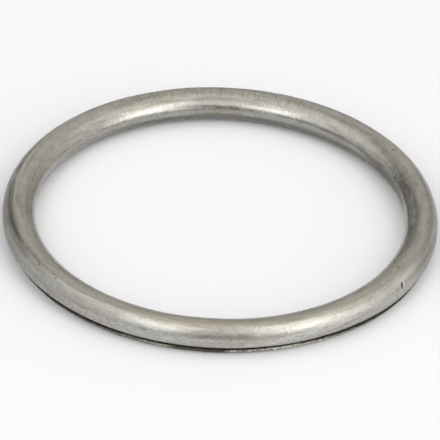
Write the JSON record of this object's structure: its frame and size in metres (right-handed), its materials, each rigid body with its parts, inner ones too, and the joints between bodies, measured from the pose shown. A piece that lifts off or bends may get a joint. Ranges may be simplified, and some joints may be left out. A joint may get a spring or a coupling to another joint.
{
  "type": "exhaust pipe seal ring",
  "caption": "Round metal seal ring rolled from sheet into a hollow tube with a tucked seam, pressed between two exhaust pipe flanges.",
  "frame": {"origin": "on the ring's axis, half way up its height", "axes": "+Z along the ring's axis and pointing up, away from the side with the seam; X and Y across the ring"},
  "size_m": [0.0712, 0.0712, 0.0052],
  "materials": {
    "rolled_steel": "bright rolled stainless steel sheet, satin, with fine forming lines along the ring"
  },
  "bodies": {
    "root": {"seal_ring": "rolled_steel"}
  },
  "joints": []
}
